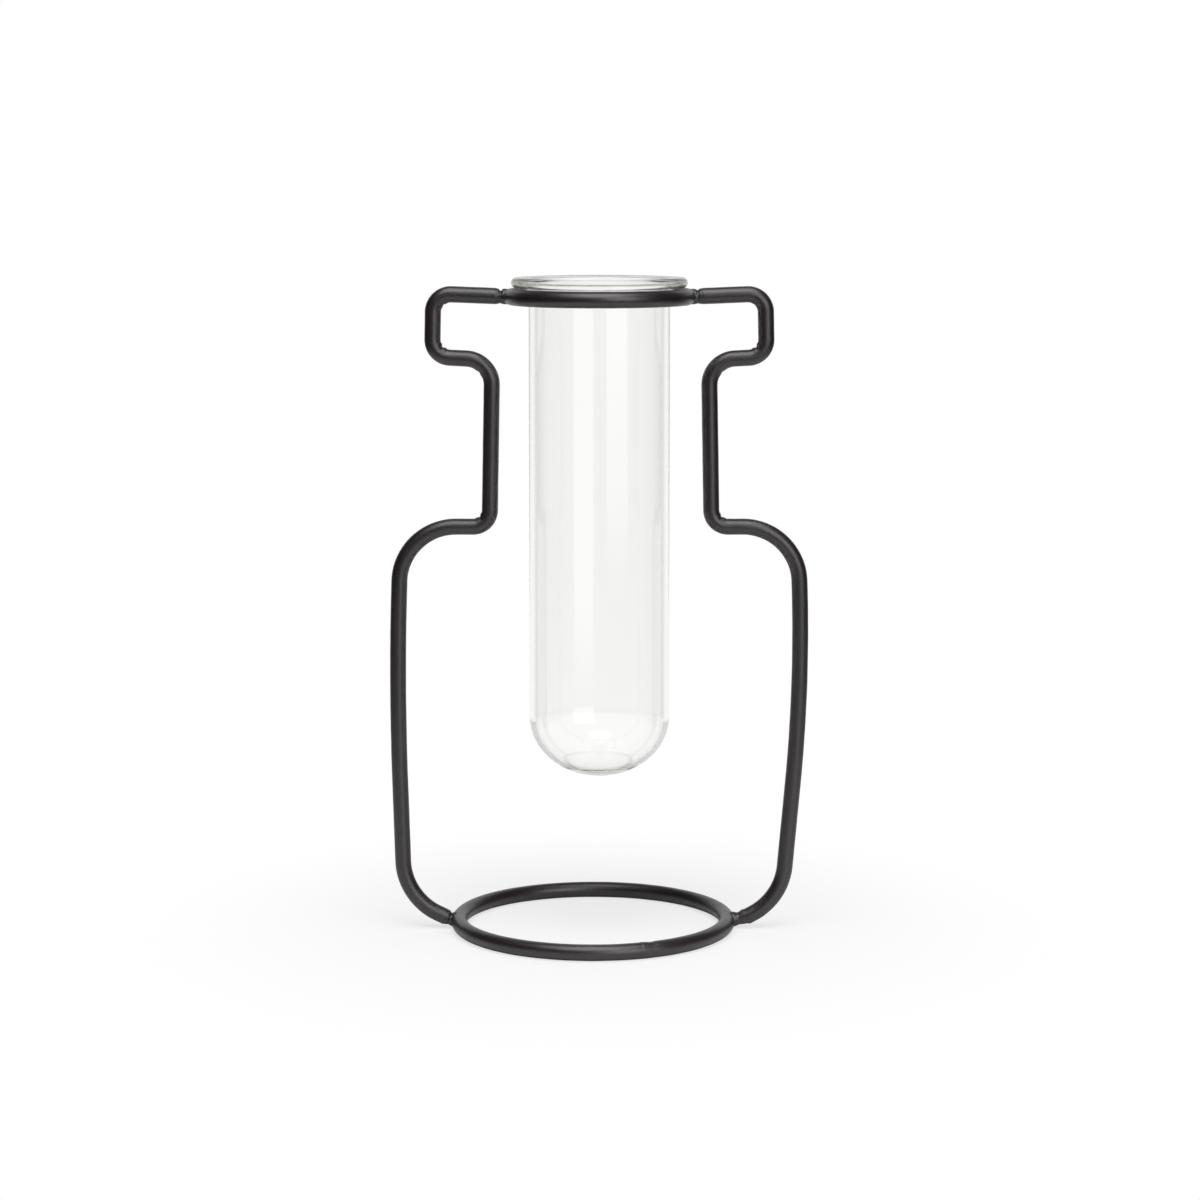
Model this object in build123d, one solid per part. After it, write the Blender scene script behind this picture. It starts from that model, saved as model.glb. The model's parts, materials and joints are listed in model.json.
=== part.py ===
from build123d import *
import math
import os

# A bud vase. A glass test tube hangs by its lip in a ring of black wire. Two bent side wires
# draw the outline of a bottle and carry that ring above a larger ring that stands on the table.
# Lengths are in millimetres. Z is up and X runs across the outline. The origin is on the
# table, under the axis of the tube. Places of a wire are places of its centre line.

# Wire of the stand
steel_wire_diameter = 4.0
powder_coat = 0.05
wire_radius = steel_wire_diameter / 2 + powder_coat

# Glass tube
tube_diameter = 35.0
tube_wall = 1.3
tube_length = 124.8
dome_flattening = 2.7
dome_wall = 1.0
puddle_radius = 9.3
puddle_depth = 1.0

# Lip of the tube, and how it hangs in its ring
ring_clearance = 2.25
lip_overhang = 2.1
lip_bead_diameter = 2.6
lip_crown = 0.7
throat_length = 4.15
throat_flare = 0.4
seat_gap = 0.3

# Rings that the tube hangs in and the vase stands on
tube_ring_height = 159.7
base_ring_outer_diameter = 71.9
base_ring_offset = -1.6

# Outline of the side wires, from the tube ring down to the base ring, with its neck a little to
# the right of the tube
collar_rise = 0.75
collar_reach = 14.2
collar_depth = 15.6
collar_flare = 0.35
collar_fall = 0.75
neck_gap = 7.35
neck_offset = 0.3
neck_length = 41.6
neck_spread = 0.8
shoulder_reach = 21.9
belly_swell = 1.4
belly_height_share = 0.605
belly_bow_share = 0.92
heel_setback = 1.75
heel_height = 7.8
toe_lift = 0.55

# Inside radii of the bends
collar_bend = 2.4
neck_top_bend = 4.5
neck_bottom_bend = 2.15
shoulder_bend = 12.2
heel_bend = 13.6

# Welds
ring_weld_length = 1.0
left_foot_weld_length = 1.0
right_foot_weld_length = 2.6
weld_waist = 0.45
weld_root_inset = 0.2
seam_weld_length = 1.2
seam_weld_bulge = 0.06
base_seam_angle = -66.5
tube_seam_angle = 90.0

# Sizes that follow from the ones above
tube_radius = tube_diameter / 2
bore_radius = tube_radius - tube_wall
dome_height = tube_radius - dome_flattening
tube_ring_radius = tube_radius + ring_clearance + wire_radius
base_ring_radius = base_ring_outer_diameter / 2 - wire_radius

# The lip's bead rests on the upper inside flank of the ring, a seat gap away from it
bead_radius = lip_bead_diameter / 2
bead_place = tube_ring_radius - wire_radius + lip_overhang - bead_radius
bead_to_wire = bead_radius + wire_radius + seat_gap
bead_height = tube_ring_height + math.sqrt(bead_to_wire**2 - (tube_ring_radius - bead_place) ** 2)
lip_top = bead_height + bead_radius
tube_bottom = lip_top - tube_length
dome_top = tube_bottom + dome_height


def tube_profile():
    """Half section of the glass, from the axis outwards."""
    outer_flare = bead_place - tube_radius
    throat_radius = bore_radius + throat_flare
    crown_width = bead_place - throat_radius
    flare_start = bead_height - bead_radius - outer_flare
    throat_top = lip_top - lip_crown
    throat_start = throat_top - throat_length
    inner_dome_height = dome_height - dome_wall
    puddle_edge = math.degrees(math.acos(puddle_radius / bore_radius))
    puddle_floor = (0, tube_bottom + dome_wall + puddle_depth)
    with BuildSketch(Plane.XZ) as section:
        with BuildLine():
            EllipticalCenterArc((0, dome_top), tube_radius, dome_height, -90, arc_size=90)
            Line((tube_radius, dome_top), (tube_radius, flare_start))
            CenterArc((bead_place, flare_start), outer_flare, 180, -90)
            CenterArc((bead_place, bead_height), bead_radius, -90, 180)
            EllipticalCenterArc((bead_place, throat_top), crown_width, lip_crown, 90, arc_size=90)
            Line((throat_radius, throat_top), (bore_radius, throat_start))
            Line((bore_radius, throat_start), (bore_radius, dome_top))
            dome = EllipticalCenterArc(
                (0, dome_top), bore_radius, inner_dome_height, -puddle_edge, arc_size=puddle_edge
            )
            TangentArc(puddle_floor, dome @ 0, tangent=(1, 0))
            Line(puddle_floor, (0, tube_bottom))
        make_face()
    return section.sketch


def test_tube():
    """Test tube with a domed bottom, a puddle of glass inside it and a thick, rounded lip."""
    return revolve(tube_profile(), Axis.Z)


def ring_arc(ring_radius, section_radius, angle):
    """Part of a ring of round section about Z, from the X axis round by an angle."""
    section = Plane.XZ * Pos(ring_radius, 0) * Circle(section_radius)
    return revolve(section, Axis.Z, angle)


def wire_ring(ring_radius, seam_angle):
    """Ring of wire about Z, left open where its seam weld closes it."""
    opening = math.degrees(seam_weld_length / ring_radius)
    return Rot(Z=seam_angle + opening / 2) * ring_arc(ring_radius, wire_radius, 360 - opening)


def seam_weld(ring_radius, seam_angle):
    """Weld that closes a ring: flush with the wire below and a little proud of it above."""
    opening = math.degrees(seam_weld_length / ring_radius)
    bead = ring_arc(ring_radius, wire_radius + seam_weld_bulge, opening)
    return Pos(0, 0, seam_weld_bulge) * Rot(Z=seam_angle - opening / 2) * bead


def outline(side, foot_weld_length):
    """Corners of a side wire's centre line, and the radius of each bend between them.

    The side is -1 for the left wire and 1 for the right one.
    """
    ring_joint = Vector(side * tube_ring_radius, 0, tube_ring_height)
    neck_x = tube_radius + neck_gap + wire_radius
    shoulder_x = neck_x + neck_spread + shoulder_reach
    belly_x = shoulder_x + belly_swell
    heel_x = side * (shoulder_x - heel_setback) + base_ring_offset
    toe_x = side * (base_ring_radius + wire_radius + foot_weld_length) + base_ring_offset
    collar_top_z = tube_ring_height + collar_rise
    collar_bottom_z = collar_top_z - collar_depth
    neck_top_z = collar_bottom_z - collar_fall
    shoulder_z = neck_top_z - neck_length
    belly_z = shoulder_z * belly_height_share

    collar_top = Vector(side * (neck_x + collar_reach), 0, collar_top_z)
    collar_bottom = Vector(side * (neck_x + collar_reach + collar_flare), 0, collar_bottom_z)
    neck_top = Vector(side * neck_x + neck_offset, 0, neck_top_z)
    neck_bottom = Vector(side * (neck_x + neck_spread) + neck_offset, 0, shoulder_z)
    shoulder = Vector(side * shoulder_x, 0, shoulder_z)
    belly = Vector(side * belly_x, 0, belly_z)
    heel = Vector(heel_x, 0, heel_height)
    toe = Vector(toe_x, 0, wire_radius + toe_lift)

    ring_end = ring_joint + (collar_top - ring_joint).normalized() * (wire_radius + ring_weld_length)
    corners = [ring_end, collar_top, collar_bottom, neck_top, neck_bottom, shoulder, belly, heel, toe]
    shoulder_radius = shoulder_bend + wire_radius
    belly_turn = math.radians((belly - shoulder).get_angle(heel - belly))
    shoulder_turn = math.radians((shoulder - neck_bottom).get_angle(belly - shoulder))
    free_run = (belly - shoulder).length - shoulder_radius * math.tan(shoulder_turn / 2)
    radii = [
        collar_bend + wire_radius,
        collar_bend + wire_radius,
        neck_top_bend + wire_radius,
        neck_bottom_bend + wire_radius,
        shoulder_radius,
        belly_bow_share * free_run / math.tan(belly_turn / 2),
        heel_bend + wire_radius,
    ]
    return corners, radii


def across(point, direction):
    """Plane through a point of the outline, square to a direction in the outline's plane."""
    return Plane(origin=point, x_dir=(0, 1, 0), z_dir=direction)


def side_wire(side, foot_weld_length):
    """Wire bent to half of the bottle's outline."""
    corners, radii = outline(side, foot_weld_length)
    path = FilletPolyline(*corners, radius=radii)
    section = across(path @ 0, path % 0) * Circle(wire_radius)
    return sweep(section, path=path)


def joint_weld(wire_end, direction, ring_joint, weld_length, ring):
    """Waisted weld between the end of a side wire and the outside of a ring."""
    inwards = Vector(-ring_joint.X, 0, 0).normalized()
    waist_place = ring_joint - inwards * (wire_radius + weld_length / 2)
    waist = Vector(waist_place.X, 0, (wire_end.Z + ring_joint.Z) / 2)
    sections = [
        across(wire_end, direction) * Circle(wire_radius),
        across(waist, direction + inwards) * Circle(wire_radius - weld_waist),
        across(ring_joint, inwards) * Circle(wire_radius - weld_root_inset),
    ]
    return loft(sections) - ring


def ring_joint_weld(side, foot_weld_length, ring):
    """Weld between a side wire's upper end and the tube ring."""
    corners, radii = outline(side, foot_weld_length)
    ring_joint = Vector(side * tube_ring_radius, 0, tube_ring_height)
    return joint_weld(corners[0], corners[0] - corners[1], ring_joint, ring_weld_length, ring)


def foot_joint_weld(side, foot_weld_length, ring):
    """Weld between a side wire's foot and the base ring."""
    corners, radii = outline(side, foot_weld_length)
    ring_joint = Vector(side * base_ring_radius + base_ring_offset, 0, wire_radius)
    return joint_weld(corners[-1], corners[-1] - corners[-2], ring_joint, foot_weld_length, ring)


on_tube = Pos(0, 0, tube_ring_height)
on_base = Pos(base_ring_offset, 0, wire_radius)
tube_ring = on_tube * wire_ring(tube_ring_radius, tube_seam_angle)
base_ring = on_base * wire_ring(base_ring_radius, base_seam_angle)

nodes = {
    "test_tube": test_tube(),
    "tube_ring": tube_ring,
    "tube_ring_seam_weld": on_tube * seam_weld(tube_ring_radius, tube_seam_angle),
    "base_ring": base_ring,
    "base_ring_seam_weld": on_base * seam_weld(base_ring_radius, base_seam_angle),
}
sides = (("left", -1, left_foot_weld_length), ("right", 1, right_foot_weld_length))
for name, side, foot_weld_length in sides:
    nodes[name + "_side_wire"] = side_wire(side, foot_weld_length)
    nodes["upper_" + name + "_weld"] = ring_joint_weld(side, foot_weld_length, tube_ring)
    nodes["lower_" + name + "_weld"] = foot_joint_weld(side, foot_weld_length, base_ring)

os.makedirs("parts", exist_ok=True)
for name, solid in nodes.items():
    export_step(solid, "parts/" + name + ".step")
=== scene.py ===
import json
import math

import bmesh
import bpy
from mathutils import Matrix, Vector, noise


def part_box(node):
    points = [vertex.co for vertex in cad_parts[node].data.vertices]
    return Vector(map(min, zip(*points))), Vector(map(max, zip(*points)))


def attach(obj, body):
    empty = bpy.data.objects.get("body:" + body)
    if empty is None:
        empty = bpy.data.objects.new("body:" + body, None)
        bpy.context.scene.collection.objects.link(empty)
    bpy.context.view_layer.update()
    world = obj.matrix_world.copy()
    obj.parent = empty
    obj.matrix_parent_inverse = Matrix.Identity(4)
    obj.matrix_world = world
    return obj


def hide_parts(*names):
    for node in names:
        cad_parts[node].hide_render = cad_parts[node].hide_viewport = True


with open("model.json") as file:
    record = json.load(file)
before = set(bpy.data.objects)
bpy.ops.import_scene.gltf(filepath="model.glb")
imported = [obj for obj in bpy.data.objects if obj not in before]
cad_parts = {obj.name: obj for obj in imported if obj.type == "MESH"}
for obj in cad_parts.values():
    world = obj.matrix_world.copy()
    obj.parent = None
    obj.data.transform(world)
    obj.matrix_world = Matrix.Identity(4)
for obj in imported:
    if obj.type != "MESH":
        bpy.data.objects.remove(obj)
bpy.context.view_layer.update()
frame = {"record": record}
record = frame["record"]

# Looks of a bud vase: a clear glass test tube that hangs in a stand of black coated wire.
# Lengths are in metres and angles in degrees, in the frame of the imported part.
mm = 0.001

# Camera, at the angle of the photograph
camera_side = 0.15 * mm
camera_distance = 768.2 * mm
camera_height = 188.7 * mm
camera_pitch = 7.76
camera_focal_length = 92.85

# Lamps. The glass has soft lamps of its own, which light nothing else.
top_lamp_place = (0.0, -0.40, 1.05)
top_lamp_size = (0.95, 0.95)
top_lamp_radiance = 3.8
side_lamp_place = (0.563, -1.06, 0.45)
side_lamp_size = (0.80, 0.90)
side_lamp_radiance = 2.9
glass_side_lamp_place = (0.59, -1.05, 0.32)
glass_side_lamp_size = (0.92, 0.94)
glass_side_lamp_radiance = 1.25
glass_side_lamp_softness_share = 0.11
glass_top_lamp_radiance = 1.6
glass_top_lamp_softness_share = 0.45
studio_aim_height = 0.10

# Studio around the vase: a white backdrop behind it, a dim room, and what glass shows of the room
backdrop_radiance = 0.95
backdrop_edge_share = 0.69
backdrop_softness_share = 0.10
room_radiance = 0.05
glass_room_radiance = 0.28
ceiling_radiance = 0.80
ceiling_start_share = 0.04
ceiling_full_share = 0.25
table_radiance = 0.75
table_start_share = -0.02
table_full_share = -0.20
light_bounces = 32

# Values of nodes: plain white, the depth between no bounce and one, and the middle of a lamp's side
white = (1, 1, 1, 1)
bounce_threshold = 0.5
lamp_middle = 0.5

# Floor
floor_radius = 0.30
floor_sides = 128
floor_albedo = 0.90
shadow_strength = 0.32
shadow_inner_radius = 0.030
shadow_outer_radius = 0.130

# Glass tube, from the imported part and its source
bore = [mount for mount in record["mounts"] if mount["name"] == "tube_bore"][0]
tube_low, tube_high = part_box("test_tube")
lip_radius = (tube_high.x - tube_low.x) / 2
bore_radius = bore["dims"]["r_mm"] * mm
bore_length = bore["dims"]["length_mm"] * mm
dome_top = bore["pos_m"][2] - bore_length / 2
throat_start = bore["pos_m"][2] + bore_length / 2
tube_radius = 17.5 * mm
bead_radius = 1.3 * mm
lip_crown = 0.7 * mm
throat_flare = 0.4 * mm
dome_wall = 1.0 * mm
puddle_radius = 9.3 * mm
puddle_depth = 1.0 * mm
tube_sides = 256
arc_steps = 28
axis_tolerance = 1e-9
smooth_face_corners = 4

# Rings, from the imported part, and their seam welds, as in its source
ring_low, ring_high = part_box("tube_ring")
base_low, base_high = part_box("base_ring")
wire_radius = (base_high.z - base_low.z) / 2
tube_ring_height = (ring_low.z + ring_high.z) / 2
tube_ring_radius = (ring_high.x - ring_low.x) / 2 - wire_radius
base_ring_height = (base_low.z + base_high.z) / 2
base_ring_radius = (base_high.x - base_low.x) / 2 - wire_radius
base_ring_offset = (base_high.x + base_low.x) / 2
seam_weld_length = 1.2 * mm
base_seam_angle = -66.5
tube_seam_angle = 90.0

# Outline of the side wires, as in the part's source
collar_rise = 0.75 * mm
collar_reach = 14.2 * mm
collar_depth = 15.6 * mm
collar_flare = 0.35 * mm
collar_fall = 0.75 * mm
neck_gap = 7.35 * mm
neck_offset = 0.3 * mm
neck_length = 41.6 * mm
neck_spread = 0.8 * mm
shoulder_reach = 21.9 * mm
belly_swell = 1.4 * mm
belly_height_share = 0.605
belly_bow_share = 0.92
heel_setback = 1.75 * mm
heel_height = 7.8 * mm
toe_lift = 0.55 * mm
collar_bend = 2.4 * mm
neck_top_bend = 4.5 * mm
neck_bottom_bend = 2.15 * mm
shoulder_bend = 12.2 * mm
heel_bend = 13.6 * mm
ring_weld_length = 1.0 * mm
left_foot_weld_length = 1.0 * mm
right_foot_weld_length = 2.6 * mm

# Detail of the wires and welds
wire_sides = 40
wire_step = 0.7 * mm
bend_step = 0.2 * mm
least_bend_steps = 3
coat_unevenness = 0.05 * mm
coat_unevenness_scale = 260.0
end_rounding = 1.0 * mm
underside_share = 0.35
crease_notch = 0.22 * mm
crease_lip = 0.14 * mm
crease_width = 0.60 * mm
crease_lip_place = 1.35 * mm
crease_sharpness = 3
weld_root_inset = 0.04 * mm
weld_overlap = 1.2 * mm
weld_lump = 0.16 * mm
weld_lump_scale = 900.0
weld_step = 0.1 * mm
seam_ridge = 0.06 * mm
seam_ridge_place = -1.6 * mm
seam_ridge_width = 0.30 * mm
seam_overlap = 2.2 * mm
seam_cover = 0.012 * mm
grind_angle = -65.2
grind_half_angle = 2.2
grind_depth = 0.13 * mm

# How deep each tight bend is creased, from the tube ring down, as a share of a full crease
left_crease_shares = (0.45, 1.0, 0.5, 0.8)
right_crease_shares = (0.10, 1.0, 0.3, 0.8)

# Notch of each joint weld: its depth, and its middle and width as shares of the weld's length
weld_notches = {
    "upper_left": (0.55 * mm, 0.40, 0.40),
    "upper_right": (0.40 * mm, 0.50, 0.40),
    "lower_left": (0.55 * mm, 0.70, 0.45),
    "lower_right": (0.50 * mm, 0.60, 0.32),
}

# Finishes
glass_ior = 1.5
glass_tint = (0.46, 0.48, 0.04)
glass_tint_density = 12.0
drawing_line_scale = (420.0, 420.0, 5.0)
drawing_line_strength = 0.35
drawing_line_height = 0.03 * mm
drawing_line_detail = 2.0
lip_roughness = 0.20
lip_waviness = 0.5
lip_wave_scale = 260.0
lip_wave_height = 0.15 * mm
lip_wave_detail = 1.0
lip_zone_height = 4.0 * mm
coat_colour = (0.0092, 0.0046, 0.0060)
coat_roughness = 0.40
coat_gloss = 0.85
coat_peel_height = 0.05 * mm
weld_colour = (0.0097, 0.0051, 0.0064)
weld_roughness = 0.42
weld_lump_height = 0.20 * mm

# Texture of the coat: fine grain, orange peel, slow drift of its tone, and wear of its gloss
grain_scale = 2600.0
grain_detail = 3.0
grain_roughness = 0.6
grain_strength = 0.8
grain_height = 0.04 * mm
peel_scale = 620.0
peel_detail = 2.0
peel_roughness = 0.5
peel_strength = 0.40
drift_scale = 95.0
drift_limits = (0.3, 0.7)
drift_tones = (0.75, 1.25)
wear_limits = (0.35, 0.75)
wear_offsets = (-0.05, 0.08)


def new_material(name):
    """Empty node material and its output node."""
    material = bpy.data.materials.new(name)
    material.use_nodes = True
    material.node_tree.nodes.clear()
    output = material.node_tree.nodes.new("ShaderNodeOutputMaterial")
    return material, output


def add_node(tree, kind, settings=None, **inputs):
    """New node with some settings and input values. A socket given as a value is linked."""
    node = tree.nodes.new(kind)
    for name, value in (settings or {}).items():
        setattr(node, name, value)
    for name, value in inputs.items():
        socket = node.inputs[int(name[1:])] if name[0] == "i" and name[1:].isdigit() else node.inputs[name]
        if isinstance(value, bpy.types.NodeSocket):
            tree.links.new(value, socket)
        else:
            socket.default_value = value
    return node


def maths(tree, operation, first, second=0.0):
    """Result of a Math node."""
    node = add_node(tree, "ShaderNodeMath", {"operation": operation}, i0=first, i1=second)
    return node.outputs[0]


def smooth_range(tree, value, low, high, low_result, high_result):
    """Value turned smoothly from one result to another between two limits."""
    node = add_node(
        tree,
        "ShaderNodeMapRange",
        {"interpolation_type": "SMOOTHSTEP"},
        i0=value,
        i1=low,
        i2=high,
        i3=low_result,
        i4=high_result,
    )
    return node.outputs[0]


def seen_straight(tree):
    """1 for rays from the camera, also through clear glass, and 0 once a surface sent them elsewhere."""
    path = tree.nodes.new("ShaderNodeLightPath")
    unreflected = maths(tree, "LESS_THAN", path.outputs["Glossy Depth"], bounce_threshold)
    no_bounce = maths(tree, "LESS_THAN", path.outputs["Diffuse Depth"], bounce_threshold)
    through_glass = maths(tree, "MULTIPLY", path.outputs["Is Transmission Ray"], unreflected)
    through_glass = maths(tree, "MULTIPLY", through_glass, no_bounce)
    return maths(tree, "MAXIMUM", path.outputs["Is Camera Ray"], through_glass)


def make_camera():
    """Camera at the photograph's viewing angle."""
    camera = bpy.data.objects.new("camera", bpy.data.cameras.new("camera"))
    camera.data.lens = camera_focal_length
    camera.location = (camera_side, -camera_distance, camera_height)
    camera.rotation_euler = (math.radians(90 - camera_pitch), 0, 0)
    bpy.context.scene.collection.objects.link(camera)
    bpy.context.scene.camera = camera


def make_lamp(name, place, size, radiance, pieces):
    """Rectangular lamp of even radiance, aimed at the vase, which lights only the given pieces."""
    lamp = bpy.data.objects.new(name, bpy.data.lights.new(name, "AREA"))
    lamp.data.shape = "RECTANGLE"
    lamp.data.size, lamp.data.size_y = size
    lamp.data.energy = radiance * math.pi * size[0] * size[1]
    lamp.location = place
    aim = Vector((0, 0, studio_aim_height)) - Vector(place)
    lamp.rotation_euler = aim.to_track_quat("-Z", "Y").to_euler()
    lamp.visible_camera = False
    bpy.context.scene.collection.objects.link(lamp)
    group = bpy.data.collections.new(name + "_pieces")
    for piece in pieces:
        group.objects.link(piece)
    lamp.light_linking.receiver_collection = group
    return lamp


def soften_lamp(lamp, softness_share):
    """Lets a lamp's radiance fade towards its edges."""
    lamp.data.use_nodes = True
    tree = lamp.data.node_tree
    place = add_node(tree, "ShaderNodeNewGeometry").outputs["Parametric"]
    parts = add_node(tree, "ShaderNodeSeparateXYZ", Vector=place)
    fade = 1.0
    for axis in ("X", "Y"):
        from_middle = maths(tree, "ABSOLUTE", maths(tree, "SUBTRACT", parts.outputs[axis], lamp_middle))
        edge = smooth_range(tree, from_middle, lamp_middle - softness_share, lamp_middle, 1.0, 0.0)
        fade = maths(tree, "MULTIPLY", edge, fade)
    tree.links.new(fade, tree.nodes["Emission"].inputs["Strength"])


def light_studio(floor, tube, stand):
    """Lamps for the stand and the floor, and softer ones for the glass."""
    make_lamp("top_lamp", top_lamp_place, top_lamp_size, top_lamp_radiance, [floor] + stand)
    make_lamp("side_lamp", side_lamp_place, side_lamp_size, side_lamp_radiance, [floor] + stand)
    soften_lamp(
        make_lamp("glass_top_lamp", top_lamp_place, top_lamp_size, glass_top_lamp_radiance, [tube]),
        glass_top_lamp_softness_share,
    )
    soften_lamp(
        make_lamp(
            "glass_side_lamp", glass_side_lamp_place, glass_side_lamp_size, glass_side_lamp_radiance, [tube]
        ),
        glass_side_lamp_softness_share,
    )


def make_world():
    """White where the camera looks. For light, a white backdrop in a dim room, which is paler in glass."""
    world = bpy.data.worlds.new("studio")
    bpy.context.scene.world = world
    world.use_nodes = True
    tree = world.node_tree
    tree.nodes.clear()
    direction = add_node(tree, "ShaderNodeTexCoord").outputs["Generated"]
    parts = add_node(tree, "ShaderNodeSeparateXYZ", Vector=direction)
    in_glass = tree.nodes.new("ShaderNodeLightPath").outputs["Is Transmission Ray"]
    room = add_node(tree, "ShaderNodeMix", i0=in_glass, i2=room_radiance, i3=glass_room_radiance)
    backdrop = smooth_range(
        tree,
        parts.outputs["Y"],
        backdrop_edge_share - backdrop_softness_share,
        backdrop_edge_share + backdrop_softness_share,
        0.0,
        backdrop_radiance,
    )
    ceiling = smooth_range(
        tree, parts.outputs["Z"], ceiling_start_share, ceiling_full_share, 0.0, ceiling_radiance
    )
    table = smooth_range(
        tree, parts.outputs["Z"], table_full_share, table_start_share, table_radiance, 0.0
    )
    around_glass = maths(tree, "MULTIPLY", maths(tree, "MAXIMUM", ceiling, table), in_glass)
    studio = maths(tree, "MAXIMUM", maths(tree, "MAXIMUM", room.outputs[0], backdrop), around_glass)
    mix = add_node(tree, "ShaderNodeMix", i0=seen_straight(tree), i2=studio, i3=1.0)
    background = add_node(tree, "ShaderNodeBackground", Color=white, Strength=mix.outputs[0])
    output = tree.nodes.new("ShaderNodeOutputWorld")
    tree.links.new(background.outputs[0], output.inputs["Surface"])


def floor_material():
    """Pale floor, which shows the soft shadow under the vase and turns white around it."""
    material, output = new_material("pale_floor")
    tree = material.node_tree
    place = add_node(tree, "ShaderNodeTexCoord").outputs["Object"]
    distance = add_node(tree, "ShaderNodeVectorMath", {"operation": "LENGTH"}, i0=place).outputs["Value"]
    white_share = smooth_range(
        tree, distance, shadow_inner_radius, shadow_outer_radius, 1 - shadow_strength, 1.0
    )
    white_share = maths(tree, "MULTIPLY", white_share, seen_straight(tree))
    colour = (floor_albedo, floor_albedo, floor_albedo, 1)
    surface = add_node(tree, "ShaderNodeBsdfDiffuse", Color=colour)
    emission = add_node(tree, "ShaderNodeEmission", Color=white, Strength=1.0)
    both = add_node(
        tree, "ShaderNodeMixShader", i0=white_share, i1=surface.outputs[0], i2=emission.outputs[0]
    )
    tree.links.new(both.outputs[0], output.inputs["Surface"])
    return material


def link_shape(name, shape, material):
    """New object for a bmesh shape in one material, smoothly shaded but for its flat ends."""
    for face in shape.faces:
        face.smooth = len(face.verts) <= smooth_face_corners
    mesh = bpy.data.meshes.new(name)
    shape.to_mesh(mesh)
    shape.free()
    mesh.materials.append(material)
    piece = bpy.data.objects.new(name, mesh)
    bpy.context.scene.collection.objects.link(piece)
    return piece


def make_floor():
    """Round pale table top under the vase."""
    shape = bmesh.new()
    bmesh.ops.create_circle(shape, cap_ends=True, radius=floor_radius, segments=floor_sides)
    floor = link_shape("floor", shape, floor_material())
    return floor


def glass_bump(tree, place, on_lip):
    """Surface direction of the glass, bent by drawing lines and by waves in the lip."""
    stretched = add_node(tree, "ShaderNodeVectorMath", {"operation": "MULTIPLY"}, i0=place)
    stretched.inputs[1].default_value = drawing_line_scale
    lines = add_node(
        tree,
        "ShaderNodeTexNoise",
        Vector=stretched.outputs[0],
        Scale=1.0,
        Detail=drawing_line_detail,
    )
    line_bump = add_node(
        tree,
        "ShaderNodeBump",
        Strength=drawing_line_strength,
        Distance=drawing_line_height,
        Height=lines.outputs["Fac"],
    )
    waves = add_node(tree, "ShaderNodeTexNoise", Vector=place, Scale=lip_wave_scale, Detail=lip_wave_detail)
    bump = add_node(
        tree,
        "ShaderNodeBump",
        Strength=maths(tree, "MULTIPLY", on_lip, lip_waviness),
        Distance=lip_wave_height,
        Height=waves.outputs["Fac"],
        Normal=line_bump.outputs["Normal"],
    )
    return bump.outputs["Normal"]


def glass_material():
    """Clear glass, tinted where it is thick, with faint drawing lines and a wavy lip formed by hand."""
    material, output = new_material("clear_glass")
    tree = material.node_tree
    place = add_node(tree, "ShaderNodeTexCoord").outputs["Object"]
    height = add_node(tree, "ShaderNodeSeparateXYZ", Vector=place).outputs["Z"]
    on_lip = smooth_range(tree, height, tube_high.z - lip_zone_height, tube_high.z - bead_radius, 0.0, 1.0)
    surface = add_node(
        tree,
        "ShaderNodeBsdfPrincipled",
        **{
            "Base Color": white,
            "Roughness": maths(tree, "MULTIPLY", on_lip, lip_roughness),
            "IOR": glass_ior,
            "Transmission Weight": 1.0,
            "Normal": glass_bump(tree, place, on_lip),
        },
    )
    volume = add_node(
        tree, "ShaderNodeVolumeAbsorption", Color=(*glass_tint, 1), Density=glass_tint_density
    )
    tree.links.new(surface.outputs[0], output.inputs["Surface"])
    tree.links.new(volume.outputs[0], output.inputs["Volume"])
    return material


def noise_node(tree, place, scale, detail, roughness):
    """Height of a noise texture at a place."""
    texture = add_node(
        tree, "ShaderNodeTexNoise", Vector=place, Scale=scale, Detail=detail, Roughness=roughness
    )
    return texture.outputs["Fac"]


def coat_material(name, colour, roughness, lump_height):
    """Satin black powder coat: fine grain over soft orange peel, and over lumps where it covers a weld."""
    material, output = new_material(name)
    tree = material.node_tree
    place = add_node(tree, "ShaderNodeTexCoord").outputs["Object"]
    grain = noise_node(tree, place, grain_scale, grain_detail, grain_roughness)
    peel = noise_node(tree, place, peel_scale, peel_detail, peel_roughness)
    drift = noise_node(tree, place, drift_scale, peel_detail, peel_roughness)
    grain_bump = add_node(
        tree, "ShaderNodeBump", Strength=grain_strength, Distance=grain_height, Height=grain
    )
    peel_bump = add_node(
        tree,
        "ShaderNodeBump",
        Strength=peel_strength,
        Distance=lump_height,
        Height=peel,
        Normal=grain_bump.outputs["Normal"],
    )
    tone = smooth_range(tree, drift, *drift_limits, *drift_tones)
    shade = add_node(tree, "ShaderNodeVectorMath", {"operation": "SCALE"}, i0=colour, Scale=tone)
    least, most = (roughness + offset for offset in wear_offsets)
    wear = smooth_range(tree, grain, *wear_limits, least, most)
    surface = add_node(
        tree,
        "ShaderNodeBsdfPrincipled",
        **{
            "Base Color": shade.outputs[0],
            "Roughness": wear,
            "Specular IOR Level": coat_gloss,
            "Normal": peel_bump.outputs["Normal"],
        },
    )
    tree.links.new(surface.outputs[0], output.inputs["Surface"])
    return material


def arc(centre, radii, start, end, steps=arc_steps):
    """Points (radius, height) on an elliptical arc, without its first one."""
    points = []
    for step in range(1, steps + 1):
        angle = math.radians(start + (end - start) * step / steps)
        points.append((centre[0] + radii[0] * math.cos(angle), centre[1] + radii[1] * math.sin(angle)))
    return points


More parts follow.
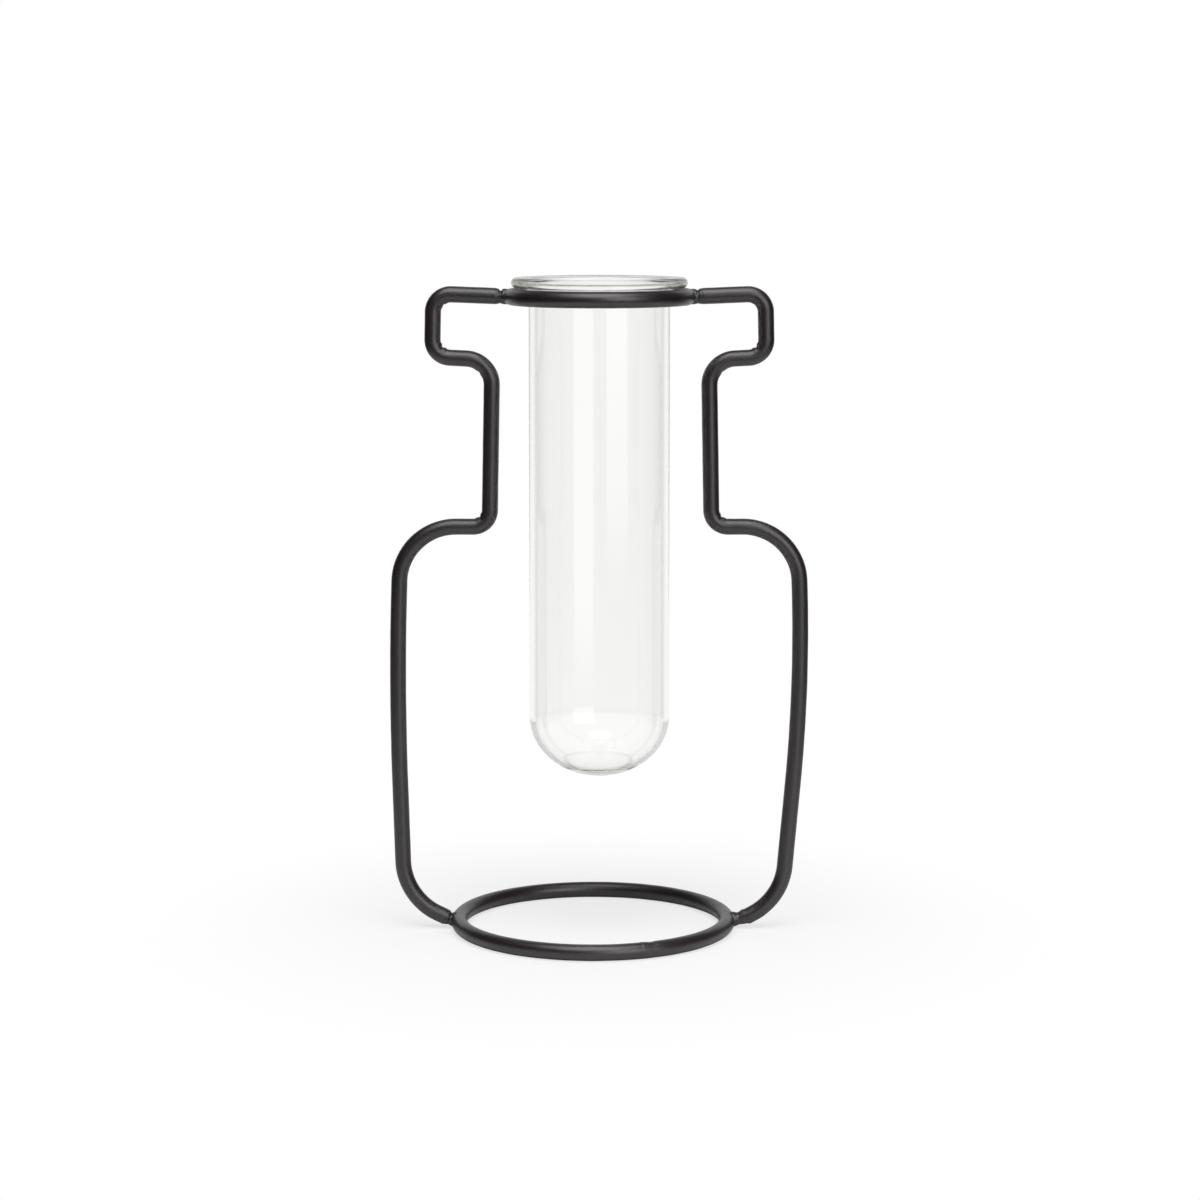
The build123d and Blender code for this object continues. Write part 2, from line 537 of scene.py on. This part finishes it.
def tube_profile():
    """Half section of the glass as (radius, height), from the bottom outside round to the bottom inside."""
    dome_height = dome_top - tube_low.z
    inner_height = dome_height - dome_wall
    bead_place = lip_radius - bead_radius
    bead_height = tube_high.z - bead_radius
    outer_flare = bead_place - tube_radius
    crown_width = bead_place - bore_radius - throat_flare
    flare_start = bead_height - bead_radius - outer_flare
    puddle_angle = math.degrees(math.acos(puddle_radius / bore_radius))
    puddle_floor = tube_low.z + dome_wall + puddle_depth
    puddle_edge = dome_top - inner_height * math.sin(math.radians(puddle_angle))
    puddle_rise = puddle_edge - puddle_floor
    puddle_curve = (puddle_radius**2 + puddle_rise**2) / (2 * puddle_rise)
    puddle_sweep = math.degrees(math.asin(puddle_radius / puddle_curve))
    points = [(0, tube_low.z)]
    points += arc((0, dome_top), (tube_radius, dome_height), -90, 0)
    points += [(tube_radius, flare_start)]
    points += arc((bead_place, flare_start), (outer_flare, outer_flare), 180, 90)
    points += arc((bead_place, bead_height), (bead_radius, bead_radius), -90, 90)
    points += arc((bead_place, tube_high.z - lip_crown), (crown_width, lip_crown), 90, 180)
    points += [(bore_radius, throat_start)]
    points += [(bore_radius, dome_top)]
    points += arc((0, dome_top), (bore_radius, inner_height), 0, -puddle_angle)
    points += arc(
        (0, puddle_floor + puddle_curve), (puddle_curve, puddle_curve), puddle_sweep - 90, -90
    )
    return points


def join_rings(shape, rings):
    """Faces between rings of the same number of vertices. A ring of one repeated vertex is a point."""
    for lower, upper in zip(rings, rings[1:]):
        for side in range(len(lower)):
            beside = (side + 1) % len(lower)
            corners = [lower[side], lower[beside], upper[beside], upper[side]]
            shape.faces.new(list(dict.fromkeys(corners)))


def make_tube():
    """Glass tube, turned from its half section."""
    shape = bmesh.new()
    rings = []
    for radius, height in tube_profile():
        if radius < axis_tolerance:
            rings.append([shape.verts.new((0, 0, height))] * tube_sides)
            continue
        ring = []
        for side in range(tube_sides):
            angle = 2 * math.pi * side / tube_sides
            ring.append(shape.verts.new((radius * math.cos(angle), radius * math.sin(angle), height)))
        rings.append(ring)
    join_rings(shape, rings)
    tube = link_shape("glass_tube", shape, glass_material())
    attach(tube, "tube")
    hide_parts("test_tube")
    return tube


def outline(side, foot_weld_length):
    """Corners of a side wire's centre line and the radius of each bend between them, as in the source."""
    neck_x = tube_radius + neck_gap + wire_radius
    shoulder_x = neck_x + neck_spread + shoulder_reach
    belly_x = shoulder_x + belly_swell
    heel_x = side * (shoulder_x - heel_setback) + base_ring_offset
    toe_x = side * (base_ring_radius + wire_radius + foot_weld_length) + base_ring_offset
    collar_top_z = tube_ring_height + collar_rise
    collar_bottom_z = collar_top_z - collar_depth
    neck_top_z = collar_bottom_z - collar_fall
    shoulder_z = neck_top_z - neck_length
    ring_joint = Vector((side * tube_ring_radius, 0, tube_ring_height))
    collar_top = Vector((side * (neck_x + collar_reach), 0, collar_top_z))
    ring_end = ring_joint + (collar_top - ring_joint).normalized() * (wire_radius + ring_weld_length)
    corners = [
        ring_end,
        collar_top,
        Vector((side * (neck_x + collar_reach + collar_flare), 0, collar_bottom_z)),
        Vector((side * neck_x + neck_offset, 0, neck_top_z)),
        Vector((side * (neck_x + neck_spread) + neck_offset, 0, shoulder_z)),
        Vector((side * shoulder_x, 0, shoulder_z)),
        Vector((side * belly_x, 0, shoulder_z * belly_height_share)),
        Vector((heel_x, 0, heel_height)),
        Vector((toe_x, 0, wire_radius + toe_lift)),
    ]
    neck_bottom, shoulder, belly, heel = corners[4:8]
    shoulder_radius = shoulder_bend + wire_radius
    belly_turn = (belly - shoulder).angle(heel - belly)
    shoulder_turn = (shoulder - neck_bottom).angle(belly - shoulder)
    free_run = (belly - shoulder).length - shoulder_radius * math.tan(shoulder_turn / 2)
    radii = [
        collar_bend + wire_radius,
        collar_bend + wire_radius,
        neck_top_bend + wire_radius,
        neck_bottom_bend + wire_radius,
        shoulder_radius,
        belly_bow_share * free_run / math.tan(belly_turn / 2),
        heel_bend + wire_radius,
    ]
    return corners, radii


def straight_steps(start, end, step):
    """Steps of a route from one place almost to another, as (place, inwards, bend place).

    The bend place is the distance from a creased bend's middle, the side it turns to and its crease share.
    """
    run = end - start
    inwards = run.normalized().cross(Vector((0, 1, 0)))
    count = max(1, math.ceil(run.length / step))
    return [(start + run * i / count, inwards, None) for i in range(count)]


def bend_steps(corner, before, after, radius, crease_share):
    """Steps round a bend."""
    turn = before.angle(after)
    reach = radius * math.tan(turn / 2)
    inside = before.cross(Vector((0, 1, 0)))
    side = 1 if inside.dot(after) > 0 else -1
    centre = corner - before * reach + inside * side * radius
    count = max(least_bend_steps, math.ceil(turn * radius / bend_step))
    steps = []
    for i in range(count):
        angle = turn * i / count
        towards = inside * side * math.cos(angle) - before * math.sin(angle)
        bend_place = (radius * (angle - turn / 2), side, crease_share)
        steps.append((centre - towards * radius, towards * side, bend_place))
    return steps


def rounded_route(corners, radii, crease_shares):
    """Steps along a line with rounded corners, of which the first ones may be creased."""
    steps = []
    start = corners[0]
    shares = list(crease_shares) + [0.0] * len(radii)
    for before, corner, after, radius, share in zip(corners, corners[1:], corners[2:], radii, shares):
        before_way = (corner - before).normalized()
        after_way = (after - corner).normalized()
        reach = radius * math.tan(before_way.angle(after_way) / 2)
        steps += straight_steps(start, corner - before_way * reach, wire_step if steps else bend_step)
        steps += bend_steps(corner, before_way, after_way, radius, share)
        start = corner + after_way * reach
    steps += straight_steps(start, corners[-1], bend_step)
    steps.append((corners[-1], steps[-1][1], None))
    return steps


def ring_route(ring_radius, start, turn, step, centre):
    """Steps along part of a ring, from an angle round by a turn, both in radians."""
    count = math.ceil(turn * ring_radius / step)
    steps = []
    for i in range(count + 1):
        angle = start + turn * i / count
        outwards = Vector((math.cos(angle), math.sin(angle), 0))
        steps.append((centre + outwards * ring_radius, -outwards, None))
    return steps


def hump(distance, width):
    """Height of a smooth hump, 1 at its middle."""
    return math.exp(-((distance / width) ** 2))


def noise_share(place, scale):
    """Smooth noise between about 0 and 1."""
    return 0.5 + 0.5 * noise.noise(place * scale)


def crease(bend_place, towards):
    """How far the inside of a tight bend stands out: a notch at its middle between two small lips."""
    if bend_place is None:
        return 0.0
    distance, side, share = bend_place
    facing = max(0.0, towards * side)
    notch = crease_notch * hump(distance, crease_width)
    lips = crease_lip * hump(abs(distance) - crease_lip_place, crease_width)
    return share * (lips - notch) * facing**crease_sharpness


def unevenness(place):
    """How far the coat falls short of its full thickness at a place."""
    return coat_unevenness * noise_share(place, coat_unevenness_scale)


def end_inset(distance):
    """How much thinner a wire is near its rounded end."""
    if distance >= end_rounding:
        return 0.0
    share = 1 - distance / end_rounding
    return end_rounding * (1 - math.sqrt(1 - share**2))


def grinding(place):
    """How deep a ground flat is beside the base ring's seam."""
    if place.z > base_high.z:
        return 0.0
    angle = math.degrees(math.atan2(place.y, place.x - base_ring_offset))
    share = 1 - ((angle - grind_angle) / grind_half_angle) ** 2
    return grind_depth * max(0.0, share)


def sweep(shape, route, across, radius_at):
    """Closed tube along a route. The radius depends on the step, the place and the angle round the wire."""
    rings = []
    for index, (place, inwards, bend_place) in enumerate(route):
        ring = []
        for side in range(wire_sides):
            angle = 2 * math.pi * side / wire_sides
            out = inwards * math.cos(angle) + across * math.sin(angle)
            radius = radius_at(index, place + out * wire_radius, math.cos(angle), bend_place)
            ring.append(shape.verts.new(place + out * radius))
        rings.append(ring)
    join_rings(shape, rings)
    shape.faces.new(rings[0])
    shape.faces.new(rings[-1])
    bmesh.ops.recalc_face_normals(shape, faces=shape.faces)


def finish_piece(name, shape, node, material):
    """Turns a shape into a piece of the stand that stands for a CAD node."""
    piece = link_shape(name, shape, material)
    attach(piece, "stand")
    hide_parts(node)
    return piece


def upwards(place, middle):
    """How high a place lies on a wire: 0 in its lower half and 1 on its top."""
    return max(0.0, (place.z - middle.z) / wire_radius)


def top_share(place, middle):
    """1 on top of a wire and less under it, where welds and wire ends are fuller."""
    return underside_share + (1 - underside_share) * upwards(place, middle)


def make_side_wire(name, side, foot_weld_length, coat):
    """Side wire with creased bends and rounded ends."""
    crease_shares = left_crease_shares if side < 0 else right_crease_shares
    route = rounded_route(*outline(side, foot_weld_length), crease_shares)
    last = len(route) - 1

    def radius_at(index, place, towards, bend_place):
        middle = route[index][0]
        end = (middle - route[0 if index < last / 2 else last][0]).length
        inset = end_inset(end) * top_share(place, middle)
        return wire_radius - unevenness(place) - inset + crease(bend_place, towards)

    shape = bmesh.new()
    sweep(shape, route, Vector((0, 1, 0)), radius_at)
    return finish_piece("bent_" + name, shape, name, coat)


def make_ring(name, ring_radius, seam_angle, centre, coat):
    """Ring of wire, open where its seam weld closes it, with a ground flat beside the base ring's seam."""
    opening = seam_weld_length / ring_radius
    start = math.radians(seam_angle) + opening / 2
    route = ring_route(ring_radius, start, 2 * math.pi - opening, wire_step, centre)

    def radius_at(index, place, towards, bend_place):
        return wire_radius - unevenness(place) - grinding(place) * upwards(place, centre)

    shape = bmesh.new()
    sweep(shape, route, Vector((0, 0, 1)), radius_at)
    return finish_piece("bent_" + name, shape, name, coat)


def make_seam_weld(name, ring_radius, seam_angle, centre, coat):
    """Weld that closes a ring, dressed nearly flush with it, with a low ridge left beside it."""
    turn = (seam_weld_length + 2 * seam_overlap) / ring_radius
    route = ring_route(ring_radius, math.radians(seam_angle) - turn / 2, turn, weld_step, centre)
    last = len(route) - 1

    def radius_at(index, place, towards, bend_place):
        from_middle = turn * ring_radius * (index / last - 0.5)
        ridge = seam_ridge * hump(from_middle - seam_ridge_place, seam_ridge_width)
        past_edge = max(0.0, abs(from_middle) - seam_weld_length / 2) / seam_overlap
        cover = seam_cover * (1 - 2 * past_edge)
        return wire_radius - unevenness(place) + (ridge - grinding(place)) * upwards(place, centre) + cover

    shape = bmesh.new()
    sweep(shape, route, Vector((0, 0, 1)), radius_at)
    return finish_piece("dressed_" + name, shape, name, coat)


def make_joint_weld(place_name, wire_end, wire_direction, joint, coat):
    """Lumpy weld between the end of a wire and the outside of a ring."""
    notch_depth, notch_share, notch_width_share = weld_notches[place_name]
    start = wire_end - wire_direction * weld_overlap
    inwards = Vector((joint.x - wire_end.x, 0, 0)).normalized()
    surface = joint - inwards * wire_radius
    end = surface + inwards * weld_overlap
    gap = abs(surface.x - wire_end.x)
    route = straight_steps(start, end, weld_step)
    route.append((end, route[-1][1], None))

    def radius_at(index, place, towards, bend_place):
        middle = route[index][0]
        share = (middle.x - wire_end.x) * inwards.x / gap
        notch = notch_depth * hump(share - notch_share, notch_width_share)
        lump = weld_lump * noise_share(place, weld_lump_scale)
        return wire_radius - weld_root_inset - notch * top_share(place, middle) - lump

    shape = bmesh.new()
    sweep(shape, route, Vector((0, 1, 0)), radius_at)
    name = place_name + "_weld"
    return finish_piece("lumpy_" + name, shape, name, coat)


def make_stand():
    """Wires, rings and welds of the stand."""
    coat = coat_material("black_powder_coat", coat_colour, coat_roughness, coat_peel_height)
    weld_coat = coat_material("coated_weld", weld_colour, weld_roughness, weld_lump_height)
    ring_centre = Vector((0, 0, tube_ring_height))
    base_centre = Vector((base_ring_offset, 0, base_ring_height))
    pieces = [
        make_ring("tube_ring", tube_ring_radius, tube_seam_angle, ring_centre, coat),
        make_ring("base_ring", base_ring_radius, base_seam_angle, base_centre, coat),
        make_seam_weld("tube_ring_seam_weld", tube_ring_radius, tube_seam_angle, ring_centre, weld_coat),
        make_seam_weld("base_ring_seam_weld", base_ring_radius, base_seam_angle, base_centre, weld_coat),
    ]
    sides = (("left", -1, left_foot_weld_length), ("right", 1, right_foot_weld_length))
    for word, side, foot_weld_length in sides:
        corners, radii = outline(side, foot_weld_length)
        ring_joint = ring_centre + Vector((side * tube_ring_radius, 0, 0))
        base_joint = base_centre + Vector((side * base_ring_radius, 0, 0))
        ring_way = (corners[0] - corners[1]).normalized()
        foot_way = (corners[-1] - corners[-2]).normalized()
        pieces += [
            make_side_wire(word + "_side_wire", side, foot_weld_length, coat),
            make_joint_weld("upper_" + word, corners[0], ring_way, ring_joint, weld_coat),
            make_joint_weld("lower_" + word, corners[-1], foot_way, base_joint, weld_coat),
        ]
    return pieces


scene = bpy.context.scene
scene.view_settings.view_transform = "Standard"
scene.cycles.max_bounces = light_bounces
scene.cycles.glossy_bounces = light_bounces
scene.cycles.transmission_bounces = light_bounces
make_camera()
make_world()
floor = make_floor()
tube = make_tube()
light_studio(floor, tube, make_stand())
